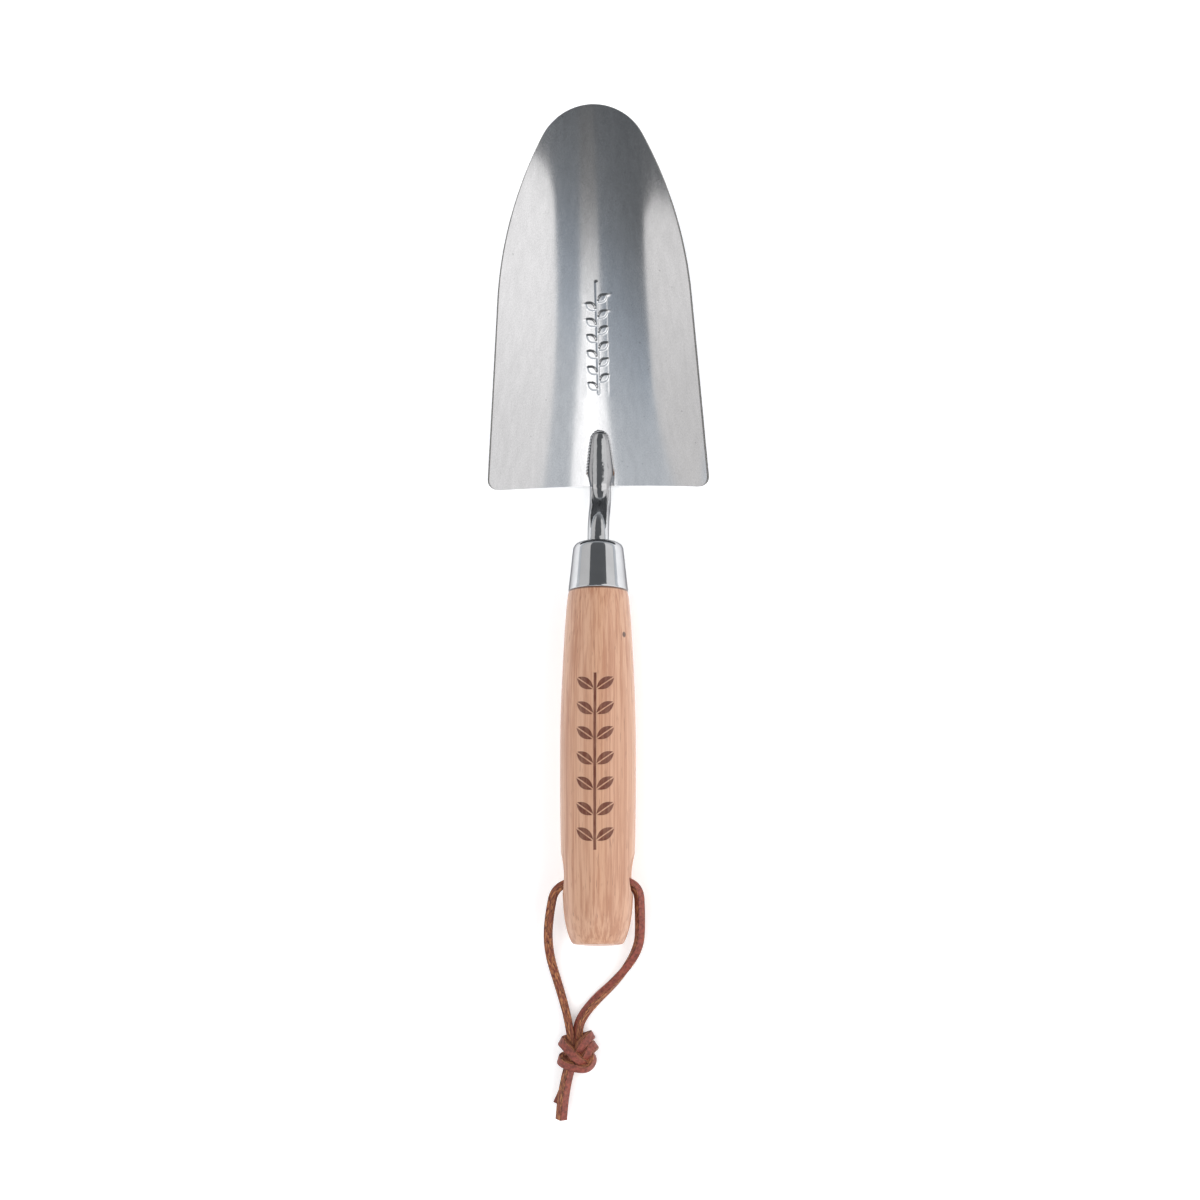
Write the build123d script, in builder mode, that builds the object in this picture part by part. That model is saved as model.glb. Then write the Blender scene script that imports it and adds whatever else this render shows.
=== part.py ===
"""Hand trowel: pressed steel blade, welded cranked tang, steel ferrule, turned wooden handle, lace loop.

The trowel lies as it rests on a flat surface: the heel of the blade and the belly of the handle touch
Z = 0, +Y runs along the handle towards the blade's tip, X is its width, and Y = 0 is half-way along it.
Lengths are in millimetres and angles in degrees.
"""

import os
from math import cos, radians, sin, tan

from build123d import *

os.makedirs("parts", exist_ok=True)

# Overall
TOTAL_LENGTH = 320.0
HANDLE_LENGTH = 134.5           # visible wood, from the ferrule's rim to the domed butt
HANDLE_RADIUS = 14.4            # at the belly
AXIS_Z = HANDLE_RADIUS          # the belly rests on Z = 0
BUTT_Y = -TOTAL_LENGTH / 2
RIM_Y = BUTT_Y + HANDLE_LENGTH  # the ferrule's open rim

# Blade
SHEET = 1.2
BLADE_LENGTH = 147.5
BLADE_RISE = 18.0               # the spine climbs this much from the heel to the tip
CHANNEL_RADIUS = 64.0           # inner radius of the pressed channel
CHANNEL_DEPTH = 22.0
TIP_RADIUS, TIP_SWEEP = 22.0, 62.0
SIDE_RADIUS, SIDE_FLARE = 160.0, 4.5
REAR_CORNER_RADIUS = 4.0
HEEL_Y = TOTAL_LENGTH / 2 - BLADE_LENGTH * cos(radians(BLADE_RISE))

# Tang: a round rod, flattened into a foot on the blade and cranked up to the handle's axis
ROD_RADIUS = 4.15
FOOT_START = 1.0                # the rod becomes the foot this far in front of the blade's rear edge
ROD_LIFT = 4.0                  # rod centre above the blade's upper face there
CRANK_ANGLE = 50.0              # steepest slope of the crank
UPPER_BEND_RADIUS = 16.0
SHANK_DEPTH = 80.0              # how far the shank reaches into the wood
SHANK_CHAMFER = 1.2
# foot sections along the blade: distance from the rear edge, half-width, half-height, centre height
FOOT_SECTIONS = [
    (5.5, 5.6, 5.2, 1.4),
    (12.0, 4.7, 4.0, 0.4),
    (17.5, 3.4, 2.7, 0.1),
    (20.2, 1.7, 1.5, 0.0),
]

# Weld bead around the foot
BEAD_START = 4.0
BEAD_LENGTH = 17.6
BEAD_HALF_WIDTH = 6.5
BEAD_HEIGHT = 1.3
BEAD_CHAMFER = 0.6

# Ferrule
FERRULE_LENGTH = 19.2
FERRULE_WALL = 0.9
FERRULE_RIM_RADIUS = 11.5
FERRULE_NECK_RADIUS = 9.8
FERRULE_SHOULDER = 3.2
FERRULE_Y = RIM_Y + FERRULE_LENGTH
GLUE_GAP = 0.05

# Handle
BUTT_DOME_RADIUS, BUTT_DOME_ANGLE = 57.0, 9.0
TANG_BORE_RADIUS = 4.55
TANG_BORE_SPARE = 1.5           # bore deeper than the shank
CORD_HOLE_RADIUS = 3.0
CORD_HOLE_Y = BUTT_Y + 23.6
DISH_HALF_WIDTH, DISH_DEPTH = 8.0, 2.6
DISH_SHIFT = 2.6                # the dish reaches further towards the ferrule
WOOD_AT_HOLE = 13.4             # handle radius where the cord hole comes out

# Lanyard
LACE_RADIUS = 1.5
KNOT_CENTRE = (-8.3, -199.2)
KNOT_RADIUS, KNOT_HEIGHT, KNOT_ROUNDING = 7.5, 9.6, 4.0
LEFT_ROUTE = [
    (0.0, CORD_HOLE_Y, AXIS_Z),
    (-15.4, CORD_HOLE_Y, AXIS_Z),
    (-19.4, -151.0, 8.8),
    (-19.7, -162.5, 3.4),
    (-16.0, -175.0, 1.6),
    (-13.0, -185.5, 1.9),
    (-11.4, -193.5, 3.6),
]
RIGHT_ROUTE = [
    (0.0, CORD_HOLE_Y, AXIS_Z),
    (15.5, CORD_HOLE_Y, AXIS_Z),
    (16.3, -151.4, 8.7),
    (15.4, -161.0, 3.8),
    (8.2, -171.5, 1.7),
    (-2.2, -181.0, 1.6),
    (-7.4, -188.0, 2.3),
    (-8.0, -193.6, 3.9),
]
LONG_TAIL_ROUTE = [
    (-12.2, -204.0, 5.2),
    (-13.9, -211.3, 4.8),
    (-14.9, -217.9, 4.5),
    (-15.5, -223.5, 3.1),
]
SHORT_TAIL_ROUTE = [
    (-12.2, -204.2, 2.0),
    (-13.8, -209.3, 1.6),
    (-15.3, -213.7, 1.55),
    (-17.1, -217.9, 1.55),
]

# Planes and axes
SPINE = (0, cos(radians(BLADE_RISE)), sin(radians(BLADE_RISE)))
BLADE_UP = (0, -sin(radians(BLADE_RISE)), cos(radians(BLADE_RISE)))
HEEL = (0, HEEL_Y, 0)
blade_plane = Plane(origin=HEEL, x_dir=(1, 0, 0), z_dir=BLADE_UP)
heel_section = Plane(origin=HEEL, x_dir=(-1, 0, 0), z_dir=SPINE)
handle_side = Plane(origin=(0, 0, AXIS_Z), x_dir=(0, 1, 0), z_dir=(1, 0, 0))
handle_axis = Axis((0, 0, AXIS_Z), (0, 1, 0))


def save(builder, name):
    """Label a finished piece and write it as its own STEP file."""
    builder.part.label = name
    export_step(builder.part, f"parts/{name}.step")


def channel_ring(inner, outer, length):
    """A straight ring sector whose inner face follows the blade's channel."""
    with BuildPart() as ring:
        with BuildSketch(heel_section):
            with Locations((0, SHEET + CHANNEL_RADIUS)):
                Circle(outer)
                Circle(inner, mode=Mode.SUBTRACT)
        extrude(amount=length)
    return ring.part


# ---------------------------------------------------------------- blade
with BuildPart() as blade:
    add(channel_ring(CHANNEL_RADIUS, CHANNEL_RADIUS + SHEET, BLADE_LENGTH + SHEET))
    with BuildSketch(blade_plane.offset(-SHEET)):
        with BuildLine():
            tip_arc = JernArc((0, BLADE_LENGTH), (1, 0), TIP_RADIUS, -TIP_SWEEP)
            side_turn = 90 - TIP_SWEEP - SIDE_FLARE
            side_arc = JernArc(tip_arc @ 1, tip_arc % 1, SIDE_RADIUS, -side_turn)
            shoulder = side_arc @ 1
            rear_half_width = shoulder.X + shoulder.Y * tan(radians(SIDE_FLARE))
            FilletPolyline(shoulder, (rear_half_width, 0), (0, 0), radius=REAR_CORNER_RADIUS)
            mirror(about=Plane.YZ)
        make_face()
    extrude(amount=CHANNEL_DEPTH, mode=Mode.INTERSECT)
save(blade, "blade")

# ---------------------------------------------------------------- tang
rod_start = (Vector(*HEEL) + Vector(*SPINE) * FOOT_START
             + Vector(*BLADE_UP) * (SHEET + ROD_LIFT))
crank_rise = AXIS_Z - rod_start.Z
upper_rise = UPPER_BEND_RADIUS * (1 - cos(radians(CRANK_ANGLE)))
LOWER_BEND_RADIUS = ((crank_rise - upper_rise)
                     / (cos(radians(BLADE_RISE)) - cos(radians(CRANK_ANGLE))))
SHANK_END_Y = RIM_Y - SHANK_DEPTH
print("lower bend radius", round(LOWER_BEND_RADIUS, 2))

with BuildPart() as tang:
    with BuildLine(Plane.YZ) as rod_path:
        lower_bend = JernArc((rod_start.Y, rod_start.Z), (-SPINE[1], -SPINE[2]),
                             LOWER_BEND_RADIUS, -(BLADE_RISE + CRANK_ANGLE))
        upper_bend = JernArc(lower_bend @ 1, lower_bend % 1, UPPER_BEND_RADIUS, CRANK_ANGLE)
        Line(upper_bend @ 1, (SHANK_END_Y, AXIS_Z))
    rod_section = Plane(origin=rod_start, x_dir=(1, 0, 0), z_dir=SPINE)
    with BuildSketch(rod_section):
        Circle(ROD_RADIUS)
    sweep(path=rod_path.line)
    chamfer(tang.edges().group_by(Axis.Y)[0], SHANK_CHAMFER)
    with BuildSketch(rod_section):
        Circle(ROD_RADIUS)
    for along, half_width, half_height, centre in FOOT_SECTIONS:
        foot_centre = (Vector(*HEEL) + Vector(*SPINE) * along
                       + Vector(*BLADE_UP) * (SHEET + centre))
        with BuildSketch(Plane(origin=foot_centre, x_dir=(1, 0, 0), z_dir=SPINE)):
            Ellipse(half_width, half_height)
    loft()
    add(channel_ring(CHANNEL_RADIUS, CHANNEL_RADIUS + CHANNEL_DEPTH, BLADE_LENGTH),
        mode=Mode.SUBTRACT)
print("crank ends at Y", round((upper_bend @ 1).Y, 2), "ferrule face at Y", round(FERRULE_Y, 2))
save(tang, "tang")

# ---------------------------------------------------------------- weld bead
with BuildPart() as weld_bead:
    with BuildSketch(blade_plane):
        with BuildLine():
            bead_end = BEAD_START + BEAD_LENGTH
            half = Spline((BEAD_HALF_WIDTH, BEAD_START), (BEAD_HALF_WIDTH * 0.72, bead_end - 4.0),
                          (0, bead_end), tangents=[(0, 1), (-1, 0)])
            Line((0, BEAD_START), half @ 0)
            mirror(about=Plane.YZ)
        make_face()
    extrude(amount=SHEET + BEAD_HEIGHT)
    chamfer(weld_bead.faces().sort_by(Axis.Z)[-1].edges().sort_by(Axis.Y)[1:], BEAD_CHAMFER)
    add(channel_ring(CHANNEL_RADIUS, CHANNEL_RADIUS + CHANNEL_DEPTH, BLADE_LENGTH),
        mode=Mode.SUBTRACT)
    add(tang.part, mode=Mode.SUBTRACT)
save(weld_bead, "weld_bead")

# ---------------------------------------------------------------- ferrule
with BuildPart() as ferrule:
    with BuildSketch(handle_side):
        with BuildLine():
            shoulder_y = FERRULE_Y - FERRULE_SHOULDER
            skirt = Line((RIM_Y, FERRULE_RIM_RADIUS), (shoulder_y, FERRULE_NECK_RADIUS))
            front = TangentArc((shoulder_y, FERRULE_NECK_RADIUS),
                               (FERRULE_Y, FERRULE_NECK_RADIUS - FERRULE_SHOULDER * 1.15),
                               tangent=skirt % 1)
            Polyline(front @ 1, (FERRULE_Y, ROD_RADIUS + GLUE_GAP),
                     (FERRULE_Y - FERRULE_WALL, ROD_RADIUS + GLUE_GAP),
                     (FERRULE_Y - FERRULE_WALL, FERRULE_NECK_RADIUS - FERRULE_SHOULDER),
                     (shoulder_y, FERRULE_NECK_RADIUS - FERRULE_WALL),
                     (RIM_Y, FERRULE_RIM_RADIUS - FERRULE_WALL),
                     skirt @ 0)
        make_face()
    revolve(axis=handle_axis)
save(ferrule, "ferrule")

# ---------------------------------------------------------------- handle
NOSE_Y = FERRULE_Y - FERRULE_SHOULDER - GLUE_GAP
with BuildPart() as handle:
    with BuildSketch(handle_side):
        with BuildLine():
            belly = (RIM_Y - 62, HANDLE_RADIUS)
            front = Spline((RIM_Y, FERRULE_RIM_RADIUS - 0.2), (RIM_Y - 6, 12.15),
                           (RIM_Y - 27, 13.45), belly, tangents=[(-1, 0.25), (-1, 0)])
            back = Spline(belly, (RIM_Y - 97, 14.0), (RIM_Y - 118, 13.1), (BUTT_Y + 5.0, 11.3),
                          (BUTT_Y + 1.6, 9.9), tangents=[(-1, 0), (-1, -0.6)])
            dome = JernArc((BUTT_Y, 0), (0, 1), BUTT_DOME_RADIUS, -BUTT_DOME_ANGLE)
            TangentArc(back @ 1, dome @ 1, tangent=back % 1)
            Polyline((BUTT_Y, 0), (NOSE_Y, 0),
                     (NOSE_Y, FERRULE_NECK_RADIUS - FERRULE_WALL - GLUE_GAP),
                     (RIM_Y, FERRULE_RIM_RADIUS - FERRULE_WALL - GLUE_GAP),
                     front @ 0)
        make_face()
    revolve(axis=handle_axis)
    with BuildSketch(Plane.XZ.offset(-NOSE_Y)):
        with Locations((0, AXIS_Z)):
            Circle(TANG_BORE_RADIUS)
    bore_depth = NOSE_Y - SHANK_END_Y + TANG_BORE_SPARE
    extrude(amount=bore_depth, mode=Mode.SUBTRACT)
    with BuildSketch(Plane.YZ):
        with Locations((CORD_HOLE_Y, AXIS_Z)):
            Circle(CORD_HOLE_RADIUS)
    extrude(amount=HANDLE_RADIUS, both=True, mode=Mode.SUBTRACT)
    dish_radius = (DISH_HALF_WIDTH ** 2 + DISH_DEPTH ** 2) / (2 * DISH_DEPTH)
    dish_x = WOOD_AT_HOLE - DISH_DEPTH + dish_radius
    with Locations((dish_x, CORD_HOLE_Y + DISH_SHIFT, AXIS_Z), (-dish_x, CORD_HOLE_Y + DISH_SHIFT, AXIS_Z)):
        Sphere(dish_radius, mode=Mode.SUBTRACT)
save(handle, "handle")

# ---------------------------------------------------------------- resin that holds the shank in the wood
with BuildPart() as tang_resin:
    with BuildSketch(Plane.XZ.offset(-NOSE_Y)):
        with Locations((0, AXIS_Z)):
            Circle(TANG_BORE_RADIUS)
    extrude(amount=bore_depth)
    add(tang.part, mode=Mode.SUBTRACT)
save(tang_resin, "tang_resin")


# ---------------------------------------------------------------- lanyard
def arc_radii(route):
    """The largest tangent arc each corner of a route allows."""
    radii = []
    for before, corner, after in zip(route, route[1:], route[2:]):
        run_in = Vector(*corner) - Vector(*before)
        run_out = Vector(*after) - Vector(*corner)
        half_turn = radians(run_in.get_angle(run_out)) / 2
        radii.append(0.45 * min(run_in.length, run_out.length) / tan(half_turn))
    return radii


def lace(name, route):
    """A round lace along straight runs joined by tangent arcs."""
    radii = arc_radii(route)
    with BuildPart() as tube:
        with BuildLine() as path:
            FilletPolyline(*route, radius=radii)
        run = path.wire()
        start = Vector(*route[0])
        with BuildSketch(Plane(origin=start, z_dir=Vector(*route[1]) - start)):
            Circle(LACE_RADIUS)
        sweep(path=run)
    section = Circle(LACE_RADIUS, mode=Mode.PRIVATE).area
    print(name, "length", round(run.length, 1), "radii", [round(r, 1) for r in radii],
          "volume / (section x length)", round(tube.part.volume / (section * run.length), 4))
    save(tube, name)


lace("lanyard_left_strand", LEFT_ROUTE)
lace("lanyard_right_strand", RIGHT_ROUTE)
lace("lanyard_long_tail", LONG_TAIL_ROUTE)
lace("lanyard_short_tail", SHORT_TAIL_ROUTE)

with BuildPart() as lanyard_knot:
    with BuildSketch():
        with Locations(KNOT_CENTRE):
            Circle(KNOT_RADIUS)
    extrude(amount=KNOT_HEIGHT)
    fillet(lanyard_knot.edges().filter_by(GeomType.CIRCLE), KNOT_ROUNDING)
save(lanyard_knot, "lanyard_knot")
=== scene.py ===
"""Hand trowel: the looks of its pieces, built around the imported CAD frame.

Everything is in metres in the CAD frame: +Y runs along the handle towards the blade's tip, X is the width,
and the heel of the blade and the belly of the handle rest on Z = 0.
"""

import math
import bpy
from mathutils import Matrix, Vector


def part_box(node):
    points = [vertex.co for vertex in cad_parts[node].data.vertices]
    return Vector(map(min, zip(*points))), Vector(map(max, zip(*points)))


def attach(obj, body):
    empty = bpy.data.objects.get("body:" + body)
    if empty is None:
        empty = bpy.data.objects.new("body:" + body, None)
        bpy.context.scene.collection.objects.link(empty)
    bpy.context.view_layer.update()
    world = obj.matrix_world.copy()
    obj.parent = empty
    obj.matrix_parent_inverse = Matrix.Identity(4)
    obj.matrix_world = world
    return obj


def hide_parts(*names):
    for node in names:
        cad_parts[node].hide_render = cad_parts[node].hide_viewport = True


bl_info = {
    "name": "Hand Trowel",
    "version": (1, 0, 0),
    "blender": (4, 5, 0),
    "location": "3D View > Sidebar > Trowel",
    "description": "Builds a hand trowel: satin blade, welded tang, ferrule, turned handle and leather lace",
    "category": "Object",
}

import bmesh
import bpy
import numpy as np
from mathutils import Matrix, Vector

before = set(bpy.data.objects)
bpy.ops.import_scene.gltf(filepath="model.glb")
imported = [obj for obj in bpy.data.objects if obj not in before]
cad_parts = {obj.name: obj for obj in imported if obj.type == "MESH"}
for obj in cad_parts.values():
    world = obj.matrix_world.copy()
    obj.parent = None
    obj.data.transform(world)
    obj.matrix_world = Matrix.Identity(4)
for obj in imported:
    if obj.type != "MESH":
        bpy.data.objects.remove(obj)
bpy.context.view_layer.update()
MM = 0.001


# ---------------------------------------------------------------- what a user would change
def length_setting(name, text, value):
    return bpy.props.FloatProperty(name=name, description=text, default=value, unit="LENGTH")


def colour_setting(name, text, value):
    return bpy.props.FloatVectorProperty(name=name, description=text, default=value, subtype="COLOR", size=3)


class TrowelSizes(bpy.types.PropertyGroup):
    """Sizes of the trowel's pieces"""

    sheet: length_setting("Sheet", "Thickness of the blade's steel", 0.0012)
    blade_length: length_setting("Blade length", "Along the spine, heel to tip", 0.1475)
    blade_rise: bpy.props.FloatProperty(
        name="Blade rise", description="Climb of the spine from heel to tip",
        default=math.radians(18.0), subtype="ANGLE")
    channel_radius: length_setting("Channel radius", "Inner radius of the pressed channel", 0.064)
    rim_round: length_setting("Rim rounding", "How far the blade's rim is broken", 0.00028)
    leaf_height: length_setting("Leaf height", "How far the pressed leaves stand up", 0.00020)
    rod_radius: length_setting("Rod radius", "Radius of the tang's rod", 0.00415)
    weld_radius: length_setting("Weld radius", "Half the width of the weld bead", 0.00075)
    ripple_pitch: length_setting("Ripple pitch", "Distance between the weld's ripples", 0.0012)
    lace_width: length_setting("Lace width", "Side of the square lace", 0.003)
    lace_edge: length_setting("Lace edge", "Rounding of the lace's edges", 0.00035)


class TrowelColours(bpy.types.PropertyGroup):
    """Colours of the trowel's finishes"""

    steel: colour_setting("Steel", "Satin stainless steel", (0.66, 0.66, 0.67))
    cut_edge: colour_setting("Cut edge", "Sheared edge of the blade", (0.17, 0.165, 0.16))
    wood_light: colour_setting("Early wood", "Pale wood between the rings", (0.60, 0.335, 0.212))
    wood_dark: colour_setting("Late wood", "Darker wood of the rings", (0.43, 0.192, 0.106))
    burn: colour_setting("Burn", "Burnt decoration", (0.120, 0.027, 0.011))
    leather_grain: colour_setting("Leather grain", "Smooth side of the lace", (0.215, 0.048, 0.031))
    leather_cut: colour_setting("Leather cut", "Cut sides of the lace", (0.48, 0.188, 0.072))
    floor: colour_setting("Floor", "Plain pale floor", (0.93, 0.93, 0.93))


def sizes():
    return bpy.context.scene.trowel_sizes


def colours():
    return bpy.context.scene.trowel_colours


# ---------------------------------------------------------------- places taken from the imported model
BLADE_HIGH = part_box("blade")[1]
FERRULE_LOW, FERRULE_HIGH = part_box("ferrule")
TANG_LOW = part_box("tang")[0]
KNOT_LOW, KNOT_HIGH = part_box("lanyard_knot")
AXIS_Z = (FERRULE_LOW.z + FERRULE_HIGH.z) / 2
RIM_Y = FERRULE_LOW.y
FERRULE_Y = FERRULE_HIGH.y


def blade_axes():
    """Heel point, direction along the spine and direction up out of the blade."""
    rise = sizes().blade_rise
    heel = Vector((0, BLADE_HIGH.y - sizes().blade_length * math.cos(rise), 0))
    return heel, Vector((0, math.cos(rise), math.sin(rise))), Vector((0, -math.sin(rise), math.cos(rise)))


# ---------------------------------------------------------------- mesh helpers
def mesh_object(name, points, faces, material, smooth=True):
    """A mesh object at the origin, with smooth or flat faces."""
    mesh = bpy.data.meshes.new(name)
    mesh.from_pydata([tuple(p) for p in points], [], faces)
    mesh.materials.append(material)
    mesh.polygons.foreach_set("use_smooth", [smooth] * len(mesh.polygons))
    mesh.update()
    obj = bpy.data.objects.new(name, mesh)
    bpy.context.scene.collection.objects.link(obj)
    return obj


def subdivide(obj, levels):
    """Smooths a cage with a live subdivision surface."""
    smooth = obj.modifiers.new("Smooth", "SUBSURF")
    smooth.levels = smooth.render_levels = levels
    return smooth


def bevel(obj, name, width, angle):
    """Breaks the edges that are sharper than an angle in degrees."""
    edge = obj.modifiers.new(name, "BEVEL")
    edge.width, edge.segments = width, 2
    edge.limit_method, edge.angle_limit = "ANGLE", math.radians(angle)
    return edge


def apply_stack(obj):
    """Turns the object's finished modifier stack into its own mesh."""
    made = bpy.data.meshes.new_from_object(obj.evaluated_get(bpy.context.evaluated_depsgraph_get()))
    obj.modifiers.clear()
    old = obj.data
    obj.data = made
    bpy.data.meshes.remove(old)
    made.name = obj.name


def ring_faces(rings, around):
    """Quads between rings of points that follow each other."""
    faces = []
    for i in range(rings - 1):
        low, high = i * around, (i + 1) * around
        for j in range(around):
            k = (j + 1) % around
            faces.append((low + j, low + k, high + k, high + j))
    return faces


# ---------------------------------------------------------------- material helpers
class Recipe:
    """A node material under construction."""

    def __init__(self, name):
        self.material = bpy.data.materials.new(name)
        self.material.use_nodes = True
        self.tree = self.material.node_tree
        self.tree.nodes.clear()
        output = self.tree.nodes.new("ShaderNodeOutputMaterial")
        self.shader = self.tree.nodes.new("ShaderNodeBsdfPrincipled")
        self.tree.links.new(self.shader.outputs[0], output.inputs["Surface"])
        self.coords = self.tree.nodes.new("ShaderNodeTexCoord")

    def put(self, value, socket):
        if isinstance(value, bpy.types.NodeSocket):
            self.tree.links.new(value, socket)
        else:
            socket.default_value = value

    def math(self, operation, *values, clamp=False):
        node = self.tree.nodes.new("ShaderNodeMath")
        node.operation, node.use_clamp = operation, clamp
        for socket, value in zip(node.inputs, values):
            self.put(value, socket)
        return node.outputs[0]

    def add(self, first, second):
        return self.math("ADD", first, second)

    def minus(self, first, second):
        return self.math("SUBTRACT", first, second)

    def times(self, first, second):
        return self.math("MULTIPLY", first, second)

    def stretched(self, scale, turn=(0, 0, 0), source="Object"):
        node = self.tree.nodes.new("ShaderNodeMapping")
        self.tree.links.new(self.coords.outputs[source], node.inputs["Vector"])
        node.inputs["Scale"].default_value = scale
        node.inputs["Rotation"].default_value = turn
        return node.outputs[0]

    def noise(self, vector, detail=3.0, rough=0.55, distortion=0.0):
        node = self.tree.nodes.new("ShaderNodeTexNoise")
        self.put(vector, node.inputs["Vector"])
        node.inputs["Scale"].default_value = 1.0
        node.inputs["Detail"].default_value = detail
        node.inputs["Roughness"].default_value = rough
        node.inputs["Distortion"].default_value = distortion
        return node.outputs["Fac"]

    def spread(self, value, low, high, to_low=0.0, to_high=1.0, smooth=False):
        node = self.tree.nodes.new("ShaderNodeMapRange")
        node.interpolation_type = "SMOOTHSTEP" if smooth else "LINEAR"
        self.put(value, node.inputs["Value"])
        for name, number in (("From Min", low), ("From Max", high), ("To Min", to_low), ("To Max", to_high)):
            node.inputs[name].default_value = number
        return node.outputs["Result"]

    def mix(self, factor, first, second, blend="MIX"):
        node = self.tree.nodes.new("ShaderNodeMix")
        node.data_type, node.blend_type = "RGBA", blend
        self.put(factor, node.inputs["Factor"])
        for socket, value in ((node.inputs[6], first), (node.inputs[7], second)):
            self.put(value if isinstance(value, bpy.types.NodeSocket) else (*value, 1.0), socket)
        return node.outputs[2]

    def axes(self, vector):
        node = self.tree.nodes.new("ShaderNodeSeparateXYZ")
        self.put(vector, node.inputs[0])
        return node.outputs

    def bump(self, height, distance, under=None):
        node = self.tree.nodes.new("ShaderNodeBump")
        node.inputs["Strength"].default_value = 1.0
        node.inputs["Distance"].default_value = distance
        self.put(height, node.inputs["Height"])
        if under is not None:
            self.tree.links.new(under, node.inputs["Normal"])
        return node.outputs[0]

    def set(self, **values):
        for name, value in values.items():
            self.put(value, self.shader.inputs[name.replace("_", " ")])
        return self.material


def rgb(colour):
    return tuple(colour)[:3]


def shade(colour, factor):
    """The colour made darker or lighter, never past white."""
    return tuple(min(1.0, c * factor) for c in rgb(colour))


# ---------------------------------------------------------------- finishes
STEEL_EDGE_TINT = (0.25, 0.255, 0.265, 1.0)  # polished steel is darker where it turns away
OIL_COAT, OIL_ROUGHNESS = 0.45, 0.13
PIN_X, PIN_Y, PIN_HALF_WIDTH, PIN_HALF_LENGTH = 0.0105, -0.0437, 0.0006, 0.0011
# the pin mark is real; the other colour on this line is painted shadow where the ferrule's rim meets the wood
PIN_COLOUR, RIM_SHADOW_COLOUR = (0.075, 0.035, 0.024), (0.085, 0.042, 0.028)
SPRIG_FIRST, SPRIG_LAST, SPRIG_PITCH = -0.0590, -0.1250, 0.0094
SPRIG_LEAN, SPRIG_ROOT = math.radians(36), 0.0066
SPRIG_MIDDLE, SPRIG_HALF_LENGTH, SPRIG_HALF_WIDTH = 0.0047, 0.0041, 0.00215


def satin_steel():
    """Rolled stainless sheet with fine lengthwise grain, small specks and a few light scratches."""
    m = Recipe("satin_steel")
    steel = rgb(colours().steel)
    rise = (-sizes().blade_rise, 0, 0)
    grain = m.noise(m.stretched((5200, 70, 5200), turn=rise), detail=4.0, rough=0.6)
    cloud = m.noise(m.stretched((38, 16, 38)), detail=3.0)
    frost = m.noise(m.stretched((2400, 1500, 2400)), detail=2.0)
    specks = m.noise(m.stretched((620, 480, 620)), detail=1.0)
    streaks = m.noise(m.stretched((420, 9, 420), turn=rise), detail=3.0)
    tone = m.add(m.times(grain, 0.4), m.times(frost, 0.3))
    tone = m.add(tone, m.times(streaks, 0.3))
    colour = m.mix(m.spread(tone, 0.38, 0.62), shade(steel, 0.90), shade(steel, 1.08))
    colour = m.mix(m.spread(specks, 0.76, 0.79, 0.0, 0.7), colour, shade(steel, 0.70))
    rough = m.add(m.spread(grain, 0.3, 0.7, 0.085, 0.135), m.spread(cloud, 0.35, 0.65, -0.01, 0.02))
    lines = m.bump(grain, 0.0000016)
    return m.set(
        Base_Color=colour, Metallic=1.0, Roughness=rough,
        Normal=m.bump(frost, 0.0000012, under=lines))


def sheared_steel():
    """Cut edge of the sheet: dull, with fine marks across it."""
    m = Recipe("sheared_steel")
    edge = rgb(colours().cut_edge)
    marks = m.noise(m.stretched((1500, 1500, 1500)), detail=3.0)
    colour = m.mix(m.spread(marks, 0.35, 0.65), shade(edge, 0.6), shade(edge, 1.5))
    return m.set(Base_Color=colour, Metallic=1.0, Roughness=m.spread(marks, 0.3, 0.7, 0.38, 0.55),
                 Normal=m.bump(marks, 0.00003))


def polished_steel(name, tint=1.0, roughness=0.09, uneven=0.00001):
    """Bright steel with faint polishing marks and a soft haze of handling."""
    m = Recipe(name)
    steel = shade(colours().steel, tint)
    haze = m.noise(m.stretched((140, 140, 140)), detail=4.0)
    waves = m.noise(m.stretched((430, 300, 430)), detail=2.0)
    marks = m.noise(m.stretched((900, 4200, 900)), detail=2.0)
    colour = m.mix(m.spread(haze, 0.35, 0.65), shade(steel, 0.93), steel)
    rough = m.add(m.spread(haze, 0.3, 0.7, roughness * 0.8, roughness * 1.35),
                  m.spread(marks, 0.6, 0.75, 0.0, 0.05))
    m.shader.inputs["Specular Tint"].default_value = STEEL_EDGE_TINT
    return m.set(
        Base_Color=colour, Metallic=1.0, Roughness=rough,
        Normal=m.bump(marks, 0.000002, under=m.bump(waves, uneven)))


def weld_metal():
    """Weld bead: rippled bright metal with straw and brown heat tint at its ends."""
    m = Recipe("weld_metal")
    heat = m.noise(m.stretched((420, 260, 420)), detail=3.0)
    fine = m.noise(m.stretched((2600, 2600, 2600)), detail=2.0)
    along = m.axes(m.coords.outputs["Object"])[1]
    heel = blade_axes()[0].y
    rear = m.spread(along, heel + 0.003, heel + 0.008, 1.0, 0.0, smooth=True)
    tint = m.math("MULTIPLY", rear, m.spread(heat, 0.35, 0.6), clamp=True)
    colour = m.mix(tint, shade(colours().steel, 0.95), (0.26, 0.12, 0.05))
    return m.set(
        Base_Color=colour, Metallic=1.0, Roughness=m.spread(heat, 0.3, 0.7, 0.16, 0.34),
        Normal=m.bump(fine, 0.000012))


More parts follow.
